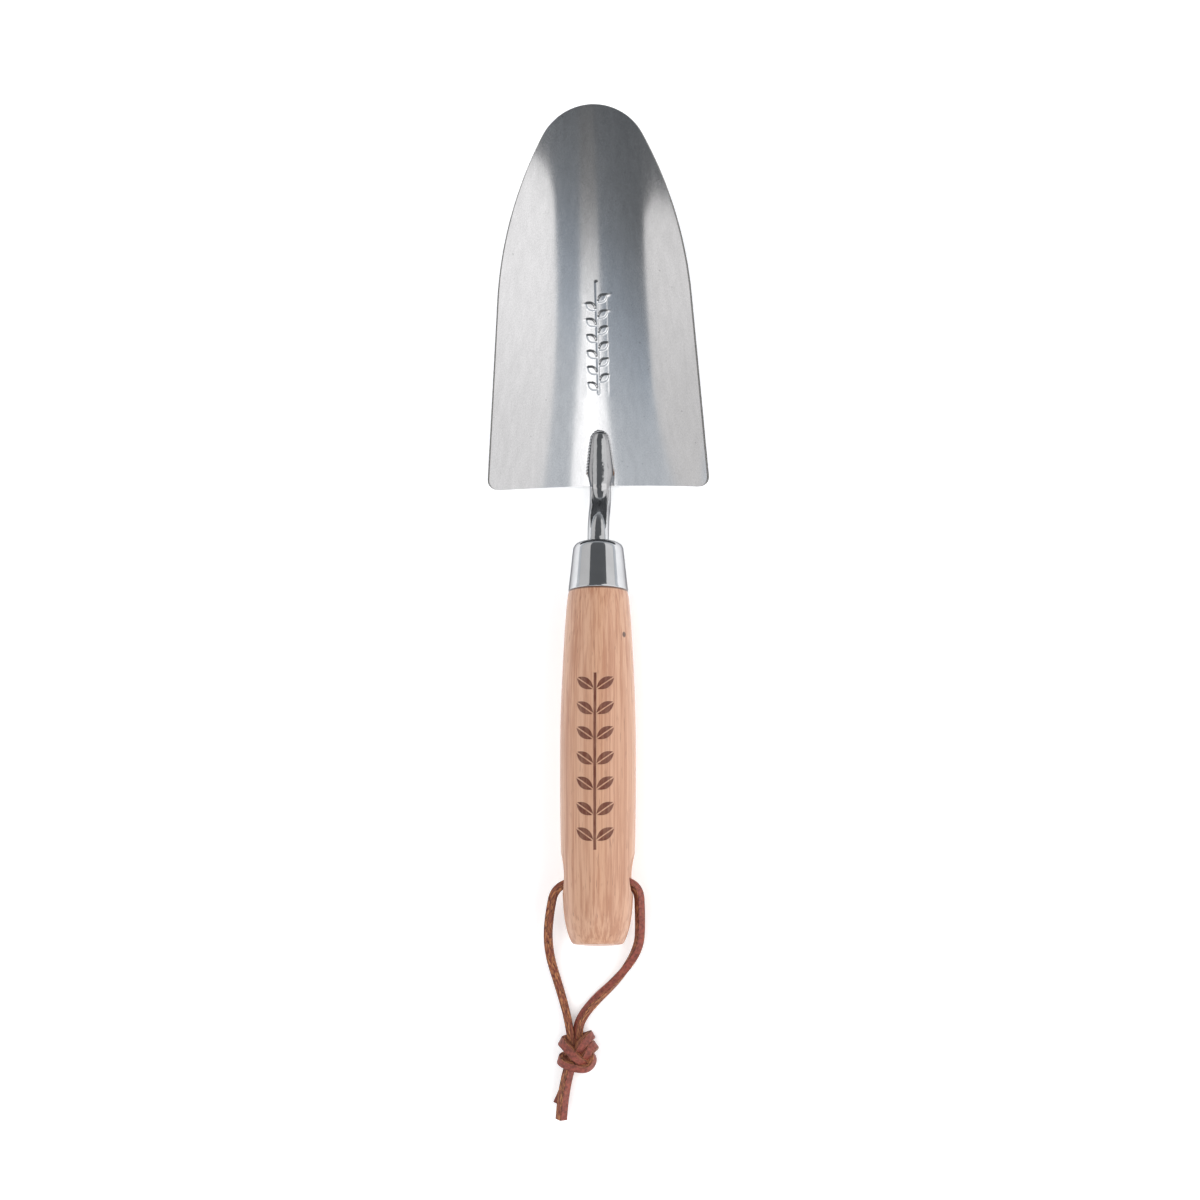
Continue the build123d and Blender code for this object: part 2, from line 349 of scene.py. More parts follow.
def turned_wood():
    """Oiled light hardwood, grain along the handle, with a burnt sprig on its upper side."""
    m = Recipe("turned_wood")
    light, dark = rgb(colours().wood_light), rgb(colours().wood_dark)
    x, y, z = m.axes(m.coords.outputs["Object"])[:3]
    wander = m.noise(m.stretched((22, 7, 22)), detail=2.0)
    rings = m.noise(m.stretched((330, 5.5, 120)), detail=2.0, rough=0.5, distortion=0.3)
    fibre = m.noise(m.stretched((2600, 55, 2600)), detail=3.0, rough=0.6)
    lines = m.noise(m.stretched((1150, 9, 900)), detail=2.0, rough=0.6)
    pores = m.noise(m.stretched((1900, 150, 1900)), detail=1.0)
    tone = m.add(m.times(rings, 0.30), m.times(fibre, 0.20))
    tone = m.add(tone, m.times(lines, 0.50))
    colour = m.mix(m.spread(tone, 0.435, 0.565), dark, light)
    colour = m.mix(m.spread(wander, 0.3, 0.7, 0.0, 0.25), colour, shade(light, 1.04))
    colour = m.mix(m.spread(pores, 0.66, 0.74, 0.0, 0.55), colour, shade(dark, 0.62))
    # one small dark pin mark
    mark = m.add(m.math("POWER", m.math("DIVIDE", m.minus(x, PIN_X), PIN_HALF_WIDTH), 2.0),
                 m.math("POWER", m.math("DIVIDE", m.minus(y, PIN_Y), PIN_HALF_LENGTH), 2.0))
    mark = m.times(m.spread(mark, 0.5, 1.3, 1.0, 0.0), m.math("GREATER_THAN", z, AXIS_Z))
    colour = m.mix(m.times(mark, 0.9), colour, PIN_COLOUR)
    # painted shadow: the wood darkens over its last 0.8 mm before the ferrule's rim, standing in for the
    # rim's shade
    rim_shadow = m.spread(m.add(y, m.times(m.minus(fibre, 0.5), 0.0003)),
                     RIM_Y - 0.0008, RIM_Y - 0.0004, 0.0, 0.85, smooth=True)
    colour = m.mix(rim_shadow, colour, RIM_SHADOW_COLOUR)
    burn, depth = sprig(m, x, y, z, fibre)
    colour = m.mix(burn, colour, rgb(colours().burn))
    rough = m.add(m.spread(fibre, 0.3, 0.7, 0.40, 0.52), m.times(burn, 0.22))
    height = m.minus(m.times(fibre, 0.12), depth)
    m.shader.inputs["Coat Weight"].default_value = OIL_COAT
    m.shader.inputs["Coat Roughness"].default_value = OIL_ROUGHNESS
    return m.set(Base_Color=colour, Roughness=rough, Normal=m.bump(height, 0.00016))


def sprig(m, x, y, z, fibre):
    """Mask of a burnt stem with pairs of leaves, and how deep it is burnt in."""
    side = m.math("ABSOLUTE", x)
    step = m.math("DIVIDE", m.minus(SPRIG_FIRST, y), SPRIG_PITCH)
    along = m.times(m.minus(step, m.math("FLOOR", step)), SPRIG_PITCH)
    ahead = m.minus(SPRIG_ROOT, along)
    # a leaf's own axes: out along it and across it
    out = m.add(m.times(side, math.cos(SPRIG_LEAN)), m.times(ahead, math.sin(SPRIG_LEAN)))
    across = m.minus(m.times(ahead, math.cos(SPRIG_LEAN)), m.times(side, math.sin(SPRIG_LEAN)))
    reach = m.math("DIVIDE", m.minus(out, SPRIG_MIDDLE), SPRIG_HALF_LENGTH)
    belly = m.times(m.minus(1.0, m.times(reach, reach)), SPRIG_HALF_WIDTH)
    flat = m.math("ABSOLUTE", across)
    leaf = m.spread(m.minus(belly, flat), 0.0, 0.00022)
    vein = m.spread(flat, 0.00016, 0.00030)
    stem = m.spread(side, 0.00042, 0.00062, 1.0, 0.0)
    mask = m.math("MAXIMUM", m.times(leaf, vein), stem)
    ends = m.times(m.math("GREATER_THAN", y, SPRIG_LAST), m.math("LESS_THAN", y, SPRIG_FIRST))
    ends = m.times(ends, m.math("GREATER_THAN", z, AXIS_Z))
    mask = m.times(mask, ends)
    scorch = m.noise(m.stretched((700, 170, 700)), detail=3.0)
    strength = m.spread(m.add(scorch, m.times(fibre, 0.5)), 0.62, 0.92, 1.0, 0.80)
    return m.times(mask, strength), m.times(mask, 0.9)


def resin():
    """Set adhesive, slightly cloudy."""
    m = Recipe("cloudy_resin")
    cloud = m.noise(m.stretched((300, 120, 300)), detail=3.0)
    return m.set(Base_Color=m.mix(cloud, (0.42, 0.33, 0.17), (0.55, 0.47, 0.30)), Roughness=0.45)


def lace_leather():
    """Square cut leather lace: smooth dyed grain side, rough cut sides and a brown flesh side."""
    m = Recipe("lace_leather")
    grain_colour, cut_colour = rgb(colours().leather_grain), rgb(colours().leather_cut)
    u, v = m.axes(m.coords.outputs["UV"])[:2]
    quarter = m.times(u, 4.0)
    side = m.math("FLOOR", quarter)
    within = m.math("ABSOLUTE", m.minus(m.minus(quarter, side), 0.5))
    is_grain = m.math("LESS_THAN", side, 0.5)
    mottle = m.noise(m.stretched((900, 900, 900)), detail=4.0)
    fine = m.noise(m.stretched((4200, 4200, 4200)), detail=2.0)
    streak = m.noise(m.stretched((22, 420, 1), source="UV"), detail=4.0, rough=0.7)
    patch = m.noise(m.stretched((9, 230, 1), source="UV"), detail=3.0)
    fray = m.noise(m.stretched((14, 900, 1), source="UV"), detail=3.0, rough=0.7)
    smooth_side = m.mix(m.spread(mottle, 0.36, 0.64), shade(grain_colour, 0.62), shade(grain_colour, 1.45))
    smooth_side = m.mix(m.spread(patch, 0.56, 0.70, 0.0, 0.5), smooth_side, shade(cut_colour, 0.8))
    rough_side = m.mix(m.spread(streak, 0.42, 0.58), shade(grain_colour, 0.38), cut_colour)
    rough_side = m.mix(m.spread(patch, 0.46, 0.58, 0.0, 0.7), rough_side, shade(grain_colour, 0.95))
    colour = m.mix(is_grain, rough_side, smooth_side)
    edge = m.times(m.spread(within, 0.37, 0.44), m.spread(fray, 0.47, 0.56, 0.0, 0.85))
    colour = m.mix(edge, colour, shade(grain_colour, 0.22))
    worn = m.times(m.spread(within, 0.42, 0.48), m.spread(fray, 0.44, 0.36, 0.0, 0.8))
    colour = m.mix(worn, colour, shade(cut_colour, 1.15))
    rough = m.add(m.times(is_grain, -0.22), m.spread(fine, 0.3, 0.7, 0.66, 0.80))
    height = m.add(m.times(streak, m.minus(1.15, is_grain)), m.times(fine, 0.25))
    return m.set(Base_Color=colour, Roughness=rough, Normal=m.bump(height, 0.00035))


# ---------------------------------------------------------------- stage
CAMERA_AIM = Vector((0.0007, -0.0289, 0.0144))
CAMERA_PLACE = Vector((0.0623, -0.1625, 0.7498))
CAMERA_ROLL, CAMERA_LENS = math.radians(0.05), 58.5
FLOOR_REACH, FLOOR_GLOW = 6.0, 0.31
SIDE_CARD_HEIGHT, HIGH_CARD_HEIGHT = 0.35, 1.0
LEFT_CARD = [(-0.235, 0.042), (-0.30, 0.057), (-0.45, 0.062), (-1.8, 0.10), (-3.2, -0.9), (-0.80, -0.21),
             (-0.52, -0.143), (-0.375, -0.102), (-0.300, -0.067), (-0.270, -0.028), (-0.245, 0.008)]
RIGHT_CARD = [(0.112, 0.050), (0.116, 0.006), (0.130, -0.028), (0.153, -0.064), (0.186, -0.095),
              (0.230, -0.126), (0.325, -0.17), (2.0, -0.9), (1.8, 0.13), (0.26, 0.082), (0.190, 0.078),
              (0.132, 0.066)]
FRONT_CARD = [(0.05, -0.04), (-0.10, -0.04), (-0.12, -0.17), (-0.13, -0.24), (-0.18, -0.31), (-0.27, -0.38),
              (-0.39, -0.52), (0.39, -0.52), (0.28, -0.38), (0.19, -0.31), (0.12, -0.24), (0.085, -0.17)]
STREAK_CARD = [(-0.025, -0.50), (0.055, -0.50), (0.045, -0.20), (-0.010, -0.20)]
TIP_LEFT_CARD = [(-0.60, 0.05), (-0.60, 2.2), (-4.0, 2.2), (-4.0, 0.05)]
TIP_RIGHT_CARD = [(0.30, 0.05), (4.0, 0.05), (4.0, 2.2), (0.90, 2.2), (0.78, 0.40), (0.30, 0.27)]
# glowing cards that show in the steel: name, outline, height, glow far and near, where it fades, colour
CARDS = (
    ("card_left", LEFT_CARD, SIDE_CARD_HEIGHT, 0.96, 0.80, (-0.10, 0.02), (1.0, 0.985, 0.975)),
    ("card_right", RIGHT_CARD, SIDE_CARD_HEIGHT, 1.18, 0.98, (-0.12, 0.02), (1.0, 0.99, 0.985)),
    ("card_front", FRONT_CARD, HIGH_CARD_HEIGHT, 0.20, 1.50, (-0.27, -0.09), (1, 1, 1)),
    ("card_streak", STREAK_CARD, HIGH_CARD_HEIGHT - 0.01, 0.8, 3.2, (-0.32, -0.20), (1, 1, 1)),
    ("card_tip_left", TIP_LEFT_CARD, HIGH_CARD_HEIGHT, 0.70, 0.70, (0.0, 1.0), (1, 1, 1)),
    ("card_tip_right", TIP_RIGHT_CARD, HIGH_CARD_HEIGHT, 0.86, 0.86, (0.0, 1.0), (1, 1, 1)),
)
# soft fill that lights the diffuse surfaces and doesn't show in the steel: name, place, size, power
FILL_LAMPS = (("fill_right", (1.30, -0.3, 1.05), 2.0, 21.0), ("fill_left", (-0.8, -0.1, 1.4), 2.0, 16.0))
# the room's greys: by how far towards the butt a direction leans, and by its height
REAR_GREYS = ((0.19, 0.13), (0.25, 0.22), (0.285, 0.35), (0.315, 0.52), (0.35, 0.70), (0.8, 0.74))
LOW_GREYS = ((0.0, 0.80), (0.16, 0.70), (0.34, 0.28), (0.55, 0.14), (1.0, 0.13))


def light_card(name, outline, height, far, near, fade, colour):
    """A flat glowing card over the object, facing down; its light fades from near to far along Y."""
    glow = bpy.data.materials.new(name)
    glow.use_nodes = True
    tree = glow.node_tree
    tree.nodes.clear()
    emit = tree.nodes.new("ShaderNodeEmission")
    emit.inputs["Color"].default_value = (*colour, 1)
    out = tree.nodes.new("ShaderNodeOutputMaterial")
    coords = tree.nodes.new("ShaderNodeTexCoord")
    split = tree.nodes.new("ShaderNodeSeparateXYZ")
    span = tree.nodes.new("ShaderNodeMapRange")
    span.interpolation_type = "SMOOTHSTEP"
    for socket, value in zip(("From Min", "From Max", "To Min", "To Max"), (fade[0], fade[1], near, far)):
        span.inputs[socket].default_value = value
    tree.links.new(coords.outputs["Object"], split.inputs[0])
    tree.links.new(split.outputs["Y"], span.inputs["Value"])
    tree.links.new(span.outputs[0], emit.inputs["Strength"])
    tree.links.new(emit.outputs[0], out.inputs["Surface"])
    card = mesh_object(name, [(x, y, height) for x, y in outline], [tuple(range(len(outline)))], glow, False)
    card.visible_camera = card.visible_shadow = card.visible_diffuse = False


def place_camera(scene):
    """Puts the camera above the trowel, looking down at it."""
    data = bpy.data.cameras.new("camera")
    data.lens, data.sensor_width, data.clip_start, data.clip_end = CAMERA_LENS, 36.0, 0.02, 20.0
    camera = bpy.data.objects.new("camera", data)
    back = (CAMERA_PLACE - CAMERA_AIM).normalized()
    right = Vector((0, 1, 0)).cross(back).normalized()
    up = back.cross(right)
    turn = Matrix((right, up, back)).transposed() @ Matrix.Rotation(CAMERA_ROLL, 3, "Z")
    camera.matrix_world = Matrix.Translation(CAMERA_PLACE) @ turn.to_4x4()
    scene.collection.objects.link(camera)
    scene.camera = camera


def studio_world(scene):
    """Lights the room: dim overhead, brighter towards the butt's side and pale at the horizon."""
    world = bpy.data.worlds.new("studio")
    scene.world = world
    world.use_nodes = True
    tree = world.node_tree
    tree.nodes.clear()
    coords = tree.nodes.new("ShaderNodeTexCoord")
    split = tree.nodes.new("ShaderNodeSeparateXYZ")
    back = tree.nodes.new("ShaderNodeVectorMath")
    back.operation = "DOT_PRODUCT"
    back.inputs[1].default_value = (0.05, -1.0, 0.0)
    rise, slope = tree.nodes.new("ShaderNodeMath"), tree.nodes.new("ShaderNodeMath")
    rise.operation, slope.operation = "MAXIMUM", "DIVIDE"
    rise.inputs[1].default_value = 0.05
    rear, low = tree.nodes.new("ShaderNodeValToRGB"), tree.nodes.new("ShaderNodeValToRGB")
    brighter = tree.nodes.new("ShaderNodeMix")
    brighter.data_type, brighter.blend_type = "RGBA", "LIGHTEN"
    brighter.inputs["Factor"].default_value = 1.0
    sky = tree.nodes.new("ShaderNodeBackground")
    out = tree.nodes.new("ShaderNodeOutputWorld")
    for source, target in (
            (coords.outputs["Generated"], split.inputs[0]), (coords.outputs["Generated"], back.inputs[0]),
            (split.outputs["Z"], rise.inputs[0]), (back.outputs["Value"], slope.inputs[0]),
            (rise.outputs[0], slope.inputs[1]), (slope.outputs[0], rear.inputs["Fac"]),
            (split.outputs["Z"], low.inputs["Fac"]), (rear.outputs["Color"], brighter.inputs[6]),
            (low.outputs["Color"], brighter.inputs[7]), (brighter.outputs[2], sky.inputs["Color"]),
            (sky.outputs[0], out.inputs["Surface"])):
        tree.links.new(source, target)
    for ramp, stops in ((rear, REAR_GREYS), (low, LOW_GREYS)):
        bar = ramp.color_ramp
        bar.elements[0].position, bar.elements[1].position = stops[0][0], stops[-1][0]
        for place, _ in stops[1:-1]:
            bar.elements.new(place)
        for stop, (place, grey) in zip(bar.elements, stops):
            cool = 1.15 if 0.3 < grey < 0.65 else 1.05
            stop.color = (grey / cool, grey, grey * cool, 1)


class TROWEL_OT_stage(bpy.types.Operator):
    """Build the floor, the lights and the camera"""

    bl_idname = "trowel.stage"
    bl_label = "Stage"

    def execute(self, context):
        scene = context.scene
        scene.view_settings.view_transform = "Standard"
        place_camera(scene)
        # floor
        m = Recipe("floor_paper")
        cloud = m.noise(m.stretched((9, 9, 9)), detail=2.0)
        pale = rgb(colours().floor)
        m.set(Base_Color=m.mix(cloud, shade(pale, 0.99), pale), Roughness=0.9)
        m.shader.inputs["Emission Color"].default_value = (1, 1, 1, 1)
        m.shader.inputs["Emission Strength"].default_value = FLOOR_GLOW
        corners = [(x * FLOOR_REACH, y * FLOOR_REACH, 0) for x, y in ((-1, -1), (1, -1), (1, 1), (-1, 1))]
        floor = mesh_object("floor", corners, [(0, 1, 2, 3)], m.material, False)
        for card in CARDS:
            light_card(*card)
        for name, place, size, power in FILL_LAMPS:
            lamp = bpy.data.lights.new(name, "AREA")
            lamp.shape, lamp.size, lamp.energy = "DISK", size, power
            lit = bpy.data.objects.new(name, lamp)
            lit.location = place
            lit.rotation_euler = (-Vector(place)).to_track_quat("-Z", "Y").to_euler()
            lit.visible_glossy = False
            scene.collection.objects.link(lit)
        studio_world(scene)
        return {"FINISHED"}


# ---------------------------------------------------------------- lace
# routes in millimetres; turns in degrees, how far the grain side is turned at each point of a route
HOLE_Y, AXIS = -136.4, 14.4
LEG_STEPS, KNOT_STEPS = 22, 14  # points of a line for each point of its route
LEFT_LEG = [(0, HOLE_Y, AXIS), (-15.4, HOLE_Y + 2.2, AXIS + 0.4), (-19.4, -151.0, 8.8), (-19.6, -162.5, 3.6),
            (-15.7, -175.0, 2.0), (-12.6, -185.5, 2.1), (-11.0, -193.5, 3.8), (-10.0, -198.0, 4.4)]
RIGHT_LEG = [(0, HOLE_Y, AXIS), (15.2, HOLE_Y + 2.6, AXIS + 0.4), (15.6, -151.4, 8.7), (14.6, -161.0, 4.0),
             (7.3, -171.5, 2.2), (-3.2, -181.0, 2.1), (-8.2, -188.0, 2.6), (-8.4, -193.6, 4.0),
             (-7.8, -198.0, 4.4)]
LONG_TAIL = [(-9.6, -200.6, 5.2), (-11.3, -204.0, 5.2), (-13.0, -211.3, 5.1), (-14.0, -217.9, 4.9),
             (-14.5, -223.5, 3.8)]
SHORT_TAIL = [(-9.6, -200.0, 2.6), (-11.2, -204.2, 2.1), (-12.8, -209.3, 1.7), (-14.3, -213.7, 1.6),
              (-16.3, -217.9, 1.6)]
LEFT_LEG_TURNS = [90, 90, 95, 95, 90, 85, 85, 85]
RIGHT_LEG_TURNS = [-40, -40, -35, -30, 5, 40, 50, 55, 60]
LONG_TAIL_TURNS, SHORT_TAIL_TURNS = [-45] * 5, [0] * 5
# knot: each lace end wraps once round it, points from its middle in x and y and from the floor in z
KNOT_SHIFT, KNOT_LACE = 0.9, 1.1
KNOT_UPPER = [(-1.8, -1.6, 4.6), (-0.9, 0.2, 6.6), (0.3, 2.2, 7.8), (1.9, 4.4, 7.6), (3.4, 6.0, 5.4),
              (3.6, 6.2, 2.8), (1.2, 5.0, 1.9), (-2.5, 4.6, 1.9), (-5.8, 4.3, 2.8), (-6.5, 3.6, 5.2),
              (-4.9, 2.3, 7.3), (-2.8, 0.3, 8.2), (-0.8, -1.6, 8.2), (0.9, -3.0, 6.9), (2.2, -3.2, 4.6),
              (0.8, -3.0, 3.0)]
KNOT_LOWER = [(0.2, -3.6, 4.2), (0.9, -2.2, 6.0), (2.0, -0.5, 7.1), (3.4, 1.4, 7.1), (4.7, 2.5, 5.2),
              (4.8, 2.1, 2.6), (2.6, 0.4, 1.85), (-1.5, -0.6, 1.8), (-5.8, -1.6, 2.2), (-7.2, -2.6, 4.2),
              (-5.8, -3.7, 6.2), (-2.8, -4.7, 6.8), (0.6, -5.4, 6.6), (3.2, -4.8, 6.0), (4.4, -2.6, 5.6),
              (3.8, -0.6, 4.8), (2.2, 0.6, 4.0)]
KNOT_UPPER_TURNS = [30] * 5 + [20] * 4 + [-4] * 5 + [10] * 2
KNOT_LOWER_TURNS = [-15] * 5 + [-10, -10, -15, -30] + [-42] * 4 + [-20] * 4


def spline_points(route, resolution):
    """Points of the smooth line that a route's control points make, in metres."""
    curve = bpy.data.curves.new("route", "CURVE")
    curve.dimensions = "3D"
    spline = curve.splines.new("NURBS")
    spline.points.add(len(route) - 1)
    for point, place in zip(spline.points, route):
        point.co = (*(c * MM for c in place), 1.0)
    spline.order_u = 3
    spline.use_endpoint_u = True
    spline.resolution_u = resolution
    holder = bpy.data.objects.new("route", curve)
    bpy.context.scene.collection.objects.link(holder)
    bpy.context.view_layer.update()
    line = bpy.data.meshes.new_from_object(holder)
    points = np.array([v.co[:] for v in line.vertices])
    bpy.data.meshes.remove(line)
    bpy.data.objects.remove(holder)
    bpy.data.curves.remove(curve)
    return points


def along_route(route, values, count):
    """Values given at a route's control points, at each of count points of its line."""
    last = len(route) - 2
    places = [0.0] + [k - 0.5 for k in range(1, len(route) - 1)] + [float(last)]
    return np.interp(np.linspace(0, last, count), places, values)


def lace_section(swell):
    """Square with rounded edges, four points on each edge and three on each flat."""
    half, edge = sizes().lace_width * swell / 2, sizes().lace_edge
    points, places = [], []
    for side in range(4):
        spin = math.radians(90 - 90 * side)
        out, run = (math.cos(spin), math.sin(spin)), (math.sin(spin), -math.cos(spin))
        for k, share in enumerate((-1.0, 0.0, 1.0)):
            at = share * (half - edge)
            points.append((out[0] * half + run[0] * at, out[1] * half + run[1] * at))
            places.append((side + 0.12 + 0.38 * k) / 4)
        for k, angle in enumerate((30, 60)):
            a = math.radians(angle)
            corner = half - edge
            points.append((out[0] * (corner + edge * math.cos(a)) + run[0] * (corner + edge * math.sin(a)),
                           out[1] * (corner + edge * math.cos(a)) + run[1] * (corner + edge * math.sin(a))))
            places.append((side + 0.94 + 0.12 * k) / 4)
    return points, places


def lace_rings(line, turns, outward, swell):
    """Rings of the lace's section along a line, its grain side turned from the outward direction."""
    run = np.gradient(line, axis=0)
    run /= np.linalg.norm(run, axis=1)[:, None]
    face = outward - (outward * run).sum(1)[:, None] * run
    face /= np.linalg.norm(face, axis=1)[:, None]
    aside = np.cross(run, face)
    angle = np.radians(turns)[:, None]
    grain = np.cos(angle) * face + np.sin(angle) * aside
    beside = np.cross(run, grain)
    section, places = lace_section(swell)
    rings = [centre + np.outer([a for a, b in section], b_dir) + np.outer([b for a, b in section], g_dir)
             for centre, g_dir, b_dir in zip(line, grain, beside)]
    return rings, places


def lace_piece(name, lines, material, swell=1.0):
    """One mesh of laces: each line is (points, turns, outward directions)."""
    points, faces, wraps = [], [], []
    for line, turns, outward in lines:
        rings, places = lace_rings(line, turns, outward, swell)
        around, start = len(places), len(points)
        lengths = np.r_[0, np.cumsum(np.linalg.norm(np.diff(line, axis=0), axis=1))]
        for ring in rings:
            points.extend(ring)
        for i in range(len(rings) - 1):
            low, high = start + i * around, start + (i + 1) * around
            for j in range(around):
                k = (j + 1) % around
                faces.append((low + j, high + j, high + k, low + k))
                u0, u1 = places[j], places[k] if k else places[0] + 1
                wraps.append([(u0, lengths[i]), (u0, lengths[i + 1]), (u1, lengths[i + 1]), (u1, lengths[i])])
        # cut ends
        for ring, at, flip in ((0, lengths[0], False), (len(rings) - 1, lengths[-1], True)):
            cap = [start + ring * around + j for j in range(around)]
            order = cap[::-1] if flip else cap
            centre = line[0] if not flip else line[-1]
            points.append(centre)
            middle = len(points) - 1
            for j in range(around):
                a, b = order[j], order[(j + 1) % around]
                faces.append((middle, a, b))
                wraps.append([(0.37, at + 0.0010), (0.30, at), (0.45, at)])
    obj = mesh_object(name, points, faces, material)
    layer = obj.data.uv_layers.new(name="lace")
    flat = [c for wrap in wraps for c in wrap]
    for loop, place in zip(layer.data, flat):
        loop.uv = place
    return obj


def leg_line(route, turns):
    """A leg's or tail's line with its turns, the grain side measured from straight up."""
    line = spline_points(route, LEG_STEPS)
    up = np.tile([0.0, 0.0, 1.0], (len(line), 1))
    return line, along_route(route, turns, len(line)), up


def knot_line(route, turns):
    """One of the knot's runs with its turns, the grain side measured from straight out of the knot."""
    middle = (KNOT_LOW + KNOT_HIGH) / 2
    centre = np.array([middle.x, middle.y, middle.z])
    placed = [(x + KNOT_SHIFT + centre[0] / MM, y + centre[1] / MM, z) for x, y, z in route]
    line = spline_points(placed, KNOT_STEPS)
    out = line - centre
    out /= np.linalg.norm(out, axis=1)[:, None]
    return line, along_route(route, turns, len(line)), out


class TROWEL_OT_lace(bpy.types.Operator):
    """Build the leather lace: two legs, the knot and its two tails"""

    bl_idname = "trowel.lace"
    bl_label = "Lace"

    def execute(self, context):
        leather = lace_leather()
        upper = knot_line(KNOT_UPPER, KNOT_UPPER_TURNS)
        lower = knot_line(KNOT_LOWER, KNOT_LOWER_TURNS)
        knot = lace_piece("lace_knot", [upper, lower], leather, KNOT_LACE)
        long_tail = lace_piece("lace_long_tail", [leg_line(LONG_TAIL, LONG_TAIL_TURNS)], leather, KNOT_LACE)
        short_tail = lace_piece("lace_short_tail", [leg_line(SHORT_TAIL, SHORT_TAIL_TURNS)], leather)
        legs = []
        for name, route, turns, node, side in (
                ("lace_left_leg", LEFT_LEG, LEFT_LEG_TURNS, "lanyard_left_strand", -1),
                ("lace_right_leg", RIGHT_LEG, RIGHT_LEG_TURNS, "lanyard_right_strand", 1)):
            line, spin, up = leg_line(route, turns)
            leg = lace_piece(name, [(line, spin, up)], leather)
            legs.append((leg, node))
        for piece, node in legs + [(knot, "lanyard_knot"), (long_tail, "lanyard_long_tail"),
                                   (short_tail, "lanyard_short_tail")]:
            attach(piece, "lanyard")
            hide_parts(node)
        return {"FINISHED"}


# ---------------------------------------------------------------- blade
TIP_RADIUS, TIP_SWEEP = 0.022, 62.0
SIDE_RADIUS, SIDE_FLARE = 0.160, 4.5
REAR_CORNER = 0.004
SPRAY_START, SPRAY_END, SPRAY_PITCH = 0.0375, 0.0805, 0.0062
LEAF_LEAN = math.radians(38)
LEAF_MIDDLE, LEAF_HALF_LENGTH, LEAF_HALF_WIDTH, LEAF_SLOPE = 0.0029, 0.0025, 0.00155, 0.00045
PRESS_LINE, PRESS_DEPTH = 0.0044, 0.00003
FAN_FROM, SPINE_TOP = 0.100, 0.127  # past here the ribs fan round the nose, from below this point


def blade_outline():
    """The blade's plan from the tip down the right side: (half width, distance from the rear edge)."""
    length = sizes().blade_length
    line = []
    for angle in np.linspace(0, TIP_SWEEP, 40):
        a = math.radians(angle)
        line.append((TIP_RADIUS * math.sin(a), length - TIP_RADIUS + TIP_RADIUS * math.cos(a)))
    a = math.radians(TIP_SWEEP)
    centre = (line[-1][0] - SIDE_RADIUS * math.sin(a), line[-1][1] - SIDE_RADIUS * math.cos(a))
    for angle in np.linspace(TIP_SWEEP, 90 - SIDE_FLARE, 60)[1:]:
        a = math.radians(angle)
        line.append((centre[0] + SIDE_RADIUS * math.sin(a), centre[1] + SIDE_RADIUS * math.cos(a)))
    flare = math.radians(SIDE_FLARE)
    shoulder = line[-1]
    rear_half = shoulder[0] + shoulder[1] * math.tan(flare)
    # rounded corner between the flared side and the rear edge
    turn = math.radians(90) + flare
    back_off = REAR_CORNER * math.tan(turn / 2)
    corner_start = (rear_half - back_off * math.sin(flare), back_off * math.cos(flare))
    centre = (rear_half - back_off, REAR_CORNER)
    for share in np.linspace(0, 1, 60)[1:]:
        line.append((shoulder[0] + (corner_start[0] - shoulder[0]) * share,
                     shoulder[1] + (corner_start[1] - shoulder[1]) * share))
    begin = math.atan2(corner_start[1] - centre[1], corner_start[0] - centre[0])
    for share in np.linspace(0, 1, 9)[1:]:
        a = begin + (math.radians(-90) - begin) * share
        line.append((centre[0] + REAR_CORNER * math.cos(a), centre[1] + REAR_CORNER * math.sin(a)))
    return np.array(line)


def smooth_step(value):
    """Eases from 0 to 1 as the value does."""
    t = np.clip(value, 0, 1)
    return t * t * (3 - 2 * t)


def pressed_relief(x, s):
    """Height of the pressed spray of leaves and of the stamp's faint borders."""
    height = sizes().leaf_height
    stem = smooth_step((0.00065 - abs(x)) / LEAF_SLOPE)
    stem *= smooth_step((s - SPRAY_START + 0.002) / 0.001) * smooth_step((SPRAY_END - s) / 0.001)
    relief = stem * 0.8
    for k in range(int((SPRAY_END - SPRAY_START) / SPRAY_PITCH)):
        for hand in (-1, 1):
            root = SPRAY_START + (k + (0.5 if hand > 0 else 0.0)) * SPRAY_PITCH
            out, fore = hand * x, s - root
            reach = out * math.cos(LEAF_LEAN) + fore * math.sin(LEAF_LEAN)
            across = fore * math.cos(LEAF_LEAN) - out * math.sin(LEAF_LEAN)
            belly = LEAF_HALF_WIDTH * (1 - ((reach - LEAF_MIDDLE) / LEAF_HALF_LENGTH) ** 2)
            relief = np.maximum(relief, smooth_step((belly - abs(across)) / LEAF_SLOPE))
    border = np.exp(-((abs(x) - PRESS_LINE) / 0.00035) ** 2)
    border *= smooth_step((s - 0.034) / 0.004) * smooth_step((0.076 - s) / 0.004)
    return relief * height - border * PRESS_DEPTH


